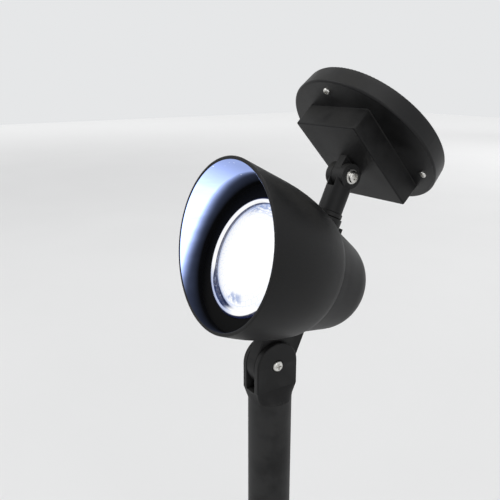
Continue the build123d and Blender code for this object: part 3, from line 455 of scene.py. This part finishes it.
def painted_glow_lens(name):
    """Clear moulded lens whose light is painted as emission: painted facets, darker patches, painted
    shade in the groove and at the rim.
    """
    finish = Finish(name, Roughness=0.05, Emission_Strength=1.0)
    radius, angle = finish.around(lens_centre, rise, across)
    upward = finish.along(rise, lens_centre)
    sideways = finish.along(across, lens_centre)
    ring = radius / LENS_RING_PITCH
    spoke = angle * (LENS_SPOKES / (2 * pi)) + (ring - ring.wrapped()) * 0.5
    facets = (ring.wrapped() - 0.5).size().most((spoke.wrapped() - 0.5).size()).between(0.40, 0.50)
    place = finish.node("ShaderNodeCombineXYZ", None, {"X": angle * 5, "Y": radius * 420})
    strokes = finish.noise(1.6, 5, (1, 1.5, 1), place)
    above = (upward / radius).between(0.70, 0.95) * radius.between(0.026, 0.0325)
    below = (upward / radius * -1).between(0.94, 0.995) * radius.between(0.0225, 0.026)
    corner = (upward * -0.87 - sideways * 0.5).between(0.0275, 0.035)
    bottom = (upward * -1 + sideways * 0.35).between(0.0305, 0.0345)
    # The groove's dark band and the bluish fringe are painted shade, placed off centre so that they
    # run wider at the lower left.
    lowered = radius - sideways * 0.072 - upward * 0.024 + corner * 0.0012
    painted_fringe_shade = lowered.between(0.0300, 0.0336) * (1 - radius.between(0.0344, 0.0347)) * (1 - bottom)
    height = finish.along(beam, lens_centre) - corner * 0.0012
    groove = lowered.between(0.0328, 0.0341) * (
        1 - radius.between(0.0345, 0.0347) * height.between(-0.0010, -0.0008))
    groove = groove * (1 - bottom * 0.9)
    # A painted dark line at the rim's outer edge, and painted shade at the lower left corner.
    edge = radius.between(0.0366, 0.0370)
    shaded = corner * radius.between(0.0346, 0.0350)
    # Lighter marks painted into the groove's dark band, and darker bluish strokes and patches
    # painted above and below the centre.
    painted_light_marks = groove * finish.noise(600, 1).between(0.58, 0.68) * 0.2
    dim_strokes_above = above * strokes.between(0.40, 0.56) * (1 - radius.between(0.0344, 0.0347))
    dim_patches_below = below * (1 - radius.between(0.0285, 0.0305)) * finish.noise(170, 3).between(0.39, 0.53)
    outer = radius.between(0.012, 0.030) * (1 - radius.between(0.0312, 0.0330))
    # Painted lamp light: the lens glows white, painted bluish along the facet lines towards its rim.
    painted_glow = finish.mix(facets * outer * 0.45, (1.0, 1.0, 1.0, 1), (0.42, 0.56, 0.90, 1))
    painted_glow = finish.mix(dim_strokes_above, painted_glow, (0.28, 0.36, 0.60, 1))
    painted_glow = finish.mix(dim_patches_below * 0.9, painted_glow, (0.28, 0.37, 0.64, 1))
    painted_glow = finish.mix(painted_fringe_shade * 0.6, painted_glow, (0.30, 0.42, 0.78, 1))
    painted_glow = finish.mix(shaded * 0.7, painted_glow, (0.22, 0.32, 0.66, 1))
    painted_glow = finish.mix(groove, painted_glow, (0.012, 0.020, 0.07, 1))
    painted_glow = finish.mix(painted_light_marks, painted_glow, (0.5, 0.6, 0.9, 1))
    painted_glow = finish.mix(edge, painted_glow, (0.008, 0.012, 0.05, 1))
    finish.drive(Base_Color=finish.mix(groove.most(edge), grey(0.04), grey(0.01)))
    finish.drive(Emission_Color=painted_glow)
    finish.drive(Alpha=groove * 0.08 + 0.92, Coat_Weight=groove * -0.55 + 0.6)
    finish.bump(facets, 0.0001)
    return finish.material


def mirror_coat(name):
    """Vacuum metal on faceted plastic; the lamp's light on it is painted as emission."""
    finish = Finish(name, Metallic=1.0, Emission_Strength=1.0)
    flow = finish.noise(160, 3)
    # Painted lamp light: bright grey deep in the bowl, dimmer and bluer towards the lens.
    depth = finish.along(beam, lens_centre).between(-0.034, -0.006)
    finish.drive(Base_Color=finish.mix(flow, grey(0.80), grey(0.88)))
    finish.drive(Roughness=flow * 0.08 + 0.06)
    finish.drive(Emission_Color=finish.mix(depth, grey(0.9), (0.45, 0.5, 0.6, 1)))
    return finish.material


# ------------------------------------------------------------- shaping
class Outline:
    """A profile in the XZ plane, drawn run by run in millimetres."""

    def __init__(self, x, z, heading=1):
        self.draft = bmesh.new()
        self.at = complex(x, z)
        self.heading = heading
        self.first = self.last = self.draft.verts.new((x, 0, z))

    def line(self, x, z):
        run = complex(x, z) - self.at
        self.heading = run / abs(run)
        corner = self.draft.verts.new((x, 0, z))
        self.draft.edges.new((self.last, corner))
        self.at, self.last = complex(x, z), corner
        return self

    def bend(self, x, z, step=radians(4)):
        """An arc that leaves in the direction the last run ended in."""
        chord = complex(x, z) - self.at
        sweep = 2 * phase(chord / self.heading)
        square = self.heading * 1j
        centre = self.at + square * abs(chord) ** 2 / (2 * (chord * square.conjugate()).real)
        swept = bmesh.ops.spin(
            self.draft,
            geom=[self.last],
            cent=(centre.real, 0, centre.imag),
            axis=(0, -1, 0),
            angle=sweep,
            steps=max(3, ceil(abs(sweep) / step)),
        )
        self.last = swept["geom_last"][0]
        self.at += chord
        self.heading *= (chord / self.heading / abs(chord)) ** 2
        return self

    def close(self):
        self.draft.edges.new((self.last, self.first))
        return self

    def turned(self, steps=128):
        """Spins the profile about Z."""
        bmesh.ops.spin(
            self.draft,
            geom=self.draft.verts[:] + self.draft.edges[:],
            cent=(0, 0, 0),
            axis=(0, 0, 1),
            angle=2 * pi,
            steps=steps,
            use_merge=True,
        )
        bmesh.ops.remove_doubles(self.draft, verts=self.draft.verts[:], dist=0.001)
        bmesh.ops.recalc_face_normals(self.draft, faces=self.draft.faces[:])
        return self.draft


def soften(draft, radius, segments=3, sharper_than=radians(25), where=None):
    """Rounds the sharp edges."""
    sharp = [
        edge for edge in draft.edges
        if len(edge.link_faces) == 2
        and edge.calc_face_angle(0) > sharper_than
        and (where is None or where(edge))
    ]
    bmesh.ops.bevel(
        draft, geom=sharp, offset=radius, offset_type="OFFSET", segments=segments,
        profile=0.5, affect="EDGES", clamp_overlap=True, material=-1,
    )


def piece(name, draft, placing, body, finishes, stands_for=(), smooth=radians(32)):
    """Makes a piece from its draft, in place, riding on its body."""
    bmesh.ops.transform(draft, matrix=placing, verts=draft.verts[:])
    mesh = bpy.data.meshes.new(name)
    draft.to_mesh(mesh)
    draft.free()
    mesh.shade_smooth()
    mesh.set_sharp_from_angle(angle=smooth)
    for finish in finishes:
        mesh.materials.append(finish)
    made = bpy.data.objects.new(name, mesh)
    bpy.context.scene.collection.objects.link(made)
    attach(made, body)
    if stands_for:
        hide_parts(*stands_for)
    return made


# ------------------------------------------------------------- hood
MOUTH_REACH = 21.9
MOUTH_RAKE = radians(14)
HOOD_LENGTH = 44.0
FLARE = tan(radians(2.8))
HOOD_RADIUS = 50.6
HOOD_WALL = 2.4


def make_hood():
    """Outside from the mouth to the rear, then the bore, the lens seat and the wall with painted
    lamp light.
    """
    outline = Outline(HOOD_RADIUS + HOOD_LENGTH * FLARE, HOOD_LENGTH)
    outline.line(HOOD_RADIUS, 0).bend(43.5, -35.8).bend(39.3, -43.2)
    outline.line(36.9, -43.2).line(36.9, -37.8).line(40.3, -34.8).line(46.8, -6.0)
    outline.line(34.0, -6.0).line(34.0, -2.4).line(38.1, -2.4).line(38.1, -1.0)
    outline.line(HOOD_RADIUS - HOOD_WALL, -1.0)
    outline.line(HOOD_RADIUS - HOOD_WALL + HOOD_LENGTH * FLARE, HOOD_LENGTH).close()
    draft = outline.turned(160)
    soften(draft, 0.35, 2, radians(40))
    for face in draft.faces:
        centre = face.calc_center_median()
        inside = face.normal.xy.dot(centre.xy) < 1
        face.material_index = 1 if inside and centre.z > -2.5 else 0
    bmesh.ops.bisect_plane(
        draft,
        geom=draft.verts[:] + draft.edges[:] + draft.faces[:],
        plane_co=(0, 0, MOUTH_REACH),
        plane_no=(0, -sin(MOUTH_RAKE), cos(MOUTH_RAKE)),
        clear_outer=True,
    )
    rims = [edge for edge in draft.edges if edge.is_boundary]
    rim = bmesh.ops.bridge_loops(draft, edges=rims)["faces"]
    for face in rim:
        face.material_index = 0
    bmesh.ops.recalc_face_normals(draft, faces=draft.faces[:])
    soften(draft, 0.85, 4, radians(50), lambda edge: any(face in rim for face in edge.link_faces))
    # The inside wall takes the finish with the painted lamp light.
    finishes = [black, painted_light_black("black_painted_light_inside")]
    piece("hood_shell", draft, on_head, "lamp_head", finishes, ["hood"])


make_hood()

# ------------------------------------------------------------- lens and reflector
def make_lens():
    """Domed face, groove, raised rim and flat back."""
    outline = Outline(0, 2.5).bend(34.2, -0.9)
    outline.line(34.4, -1.1).line(34.8, -1.1).line(35.7, 0.6).line(37.2, 0.6).line(38.0, -0.2)
    outline.line(38.0, -1.6).line(0, -1.6)
    draft = outline.turned(144)
    soften(draft, 0.12, 2, radians(30))
    piece("lens_disc", draft, on_head, "lamp_head", [painted_glow_lens("clear_lens_painted_glow")], ["lens"])


def make_reflector():
    """Bowl down to the throat, the collar behind it, and the outside back to the flange."""
    outline = Outline(33.0, -6.0, heading=complex(-0.34, -0.94)).bend(6.2, -33.0, radians(7))
    outline.line(6.2, -34.4).line(14.5, -34.4).line(14.5, -33.0).line(9.4, -33.0)
    outline.line(24.6, -21.0).line(34.6, -7.4).line(44.0, -7.4).line(44.0, -6.0).close()
    draft = outline.turned(72)
    bowl = [
        face for face in draft.faces
        if face.calc_center_median().xy.length < 33 and face.calc_center_median().z > -33
        and face.normal.z > 0.1
    ]
    bmesh.ops.inset_individual(
        draft, faces=bowl, thickness=0.28, depth=-0.22, use_even_offset=True,
    )
    finish = mirror_coat("mirror_coat")
    piece("reflector_bowl", draft, on_head, "lamp_head", [finish], ["reflector"], radians(60))


make_lens()
make_reflector()

# ------------------------------------------------------------- ground spike and battery springs
# Height, half width and half thickness of the cross-shaped blade.
BLADE = ((0.2, 13.5, 1.5), (-37.5, 13.5, 1.5), (-112, 3.28, 1.5), (-125, 1.5, 0.75))
SPRING_PITCH = 15.2             # between neighbouring springs
SPRING_LENGTH = 4.5
SPRING_TAPER = 0.42             # how much narrower at the cell
WIRE_RADIUS = 0.3
COIL_RADIUS = 4.65
COIL_RISE = 3.8
COIL_TURNS = 5
COIL_STEPS = 160


def make_spike():
    """Flange and plug, with a cross-shaped blade below that narrows to its point."""
    spike = Outline(0, 21.5).line(11.65, 21.5).line(12.65, 20.5).line(12.65, 2.5)
    spike = spike.line(19.0, 2.5).line(19.0, 0).line(0, 0).turned(96)
    loops = []
    for height, reach, half in BLADE:
        corners = [
            spike.verts.new((*(Matrix.Rotation(turn * pi / 2, 2) @ Vector(corner)), height))
            for turn in range(4)
            for corner in ((reach, -half), (reach, half), (half, half))
        ]
        loops.append([spike.edges.new((corners[at - 1], corners[at])) for at in range(12)])
    for upper, lower in zip(loops, loops[1:]):
        bmesh.ops.bridge_loops(spike, edges=upper + lower)
    bmesh.ops.holes_fill(spike, edges=loops[0] + loops[-1])
    bmesh.ops.recalc_face_normals(spike, faces=spike.faces[:])
    soften(spike, 0.4, 3, radians(50))
    piece("spike_blade", spike, on_ground, "stake", [black_soil], ["ground_spike"])


def make_springs():
    """Three conical coils between the contacts and the cells."""
    coils = bmesh.new()
    upright = Matrix.Rotation(pi / 2, 4, "X")
    for place in (-SPRING_PITCH, 0, SPRING_PITCH):
        start = Matrix.Translation((place + COIL_RADIUS, 0, 0.35)) @ upright
        wire = bmesh.ops.create_circle(coils, segments=10, radius=WIRE_RADIUS, matrix=start)
        edges = {edge for vert in wire["verts"] for edge in vert.link_edges}
        bmesh.ops.spin(
            coils, geom=[*wire["verts"], *edges], cent=(place, 0, 0), axis=(0, 0, 1),
            dvec=(0, 0, COIL_RISE / COIL_STEPS), angle=COIL_TURNS * 2 * pi, steps=COIL_STEPS,
        )
    bmesh.ops.holes_fill(coils, edges=[edge for edge in coils.edges if edge.is_boundary])
    for vert in coils.verts:
        middle = Vector((SPRING_PITCH * round(vert.co.x / SPRING_PITCH), 0))
        narrower = 1 - SPRING_TAPER * vert.co.z / SPRING_LENGTH
        vert.co.xy = middle + (vert.co.xy - middle) * narrower
    bmesh.ops.recalc_face_normals(coils, faces=coils.faces[:])
    piece("coil_springs", coils, on_contacts, "solar_panel", [nickel], ["battery_springs"])


make_spike()
make_springs()

# ------------------------------------------------------------- floor, light and camera
CAMERA_OFFSET = Vector((0.29893, -0.22114, 0.10739))
CAMERA_AZIMUTH = radians(55.54)
CAMERA_ELEVATION = radians(15.90)
toward = Vector((
    sin(CAMERA_AZIMUTH) * cos(CAMERA_ELEVATION),
    -cos(CAMERA_AZIMUTH) * cos(CAMERA_ELEVATION),
    sin(CAMERA_ELEVATION),
))
right = Vector((cos(CAMERA_AZIMUTH), sin(CAMERA_AZIMUTH), 0))
camera = bpy.data.objects.new("camera", bpy.data.cameras.new("camera"))
camera.data.sensor_width = 36.0
camera.data.lens = 44.64
camera.data.clip_start = 0.01
camera.matrix_world = Matrix.Translation(Vector((0, 0, lens_centre.z)) + CAMERA_OFFSET) @ Matrix(
    (right, toward.cross(right), toward)
).transposed().to_4x4()
bpy.context.scene.collection.objects.link(camera)
bpy.context.scene.camera = camera

PALE = 0.85                     # how bright the background shows
SKY_LIGHT = 0.45                # how brightly it lights the lamp
FLOOR_REACH = 6.0
HAZE_START = 1.8                # where the floor begins to pale into the background
LAMP_TARGET = (0, 0, 0.2)


def softbox(name, position, size, power):
    lamp = bpy.data.lights.new(name, "AREA")
    lamp.shape = "RECTANGLE"
    lamp.size, lamp.size_y = size
    lamp.energy = power
    holder = bpy.data.objects.new(name, lamp)
    heading = Vector(position) - Vector(LAMP_TARGET)
    turn = heading.to_track_quat("Z", "Y").to_matrix().to_4x4()
    holder.matrix_world = Matrix.Translation(position) @ turn
    bpy.context.scene.collection.objects.link(holder)


softbox("key_light", (-1.8, -3.0, 3.0), (2.4, 2.4), 62)
softbox("fill_light", (3.4, -0.9, 1.9), (2.0, 2.6), 26)
softbox("top_light", (0.4, 1.0, 3.8), (3.0, 2.0), 44)
softbox("rear_light", (-1.2, 3.4, 2.1), (2.0, 2.6), 30)

world = bpy.data.worlds.new("studio")
bpy.context.scene.world = world
world.use_nodes = True
sky = Nodes(world.node_tree, "Background")
sky.shader.inputs["Color"].default_value = (0.93, 0.94, 0.95, 1)
sky.drive(Strength=sky.seen() * (PALE - SKY_LIGHT) + SKY_LIGHT)

floor_draft = bmesh.new()
bmesh.ops.create_grid(floor_draft, x_segments=1, y_segments=1, size=FLOOR_REACH)
bmesh.ops.translate(floor_draft, verts=floor_draft.verts, vec=(0, 0, cad_box[0][2]))
floor_mesh = bpy.data.meshes.new("floor")
floor_draft.to_mesh(floor_mesh)
floor_draft.free()
floor = bpy.data.objects.new("floor", floor_mesh)
bpy.context.scene.collection.objects.link(floor)
floor_finish = Finish("pale_floor", Roughness=0.85, Specular_IOR_Level=0.2, Emission_Strength=1.0)
distance = floor_finish.around((0, 0, 0), (1, 0, 0), (0, 1, 0))[0]
haze = distance.between(HAZE_START, FLOOR_REACH) * floor_finish.seen()
floor_finish.drive(
    Base_Color=floor_finish.mix(floor_finish.noise(3, 3), grey(0.80), grey(0.84)),
    Emission_Color=floor_finish.mix(haze, grey(0), grey(PALE - SKY_LIGHT + 0.03)),
)
floor_mesh.materials.append(floor_finish.material)

bpy.context.scene.view_settings.view_transform = "Standard"
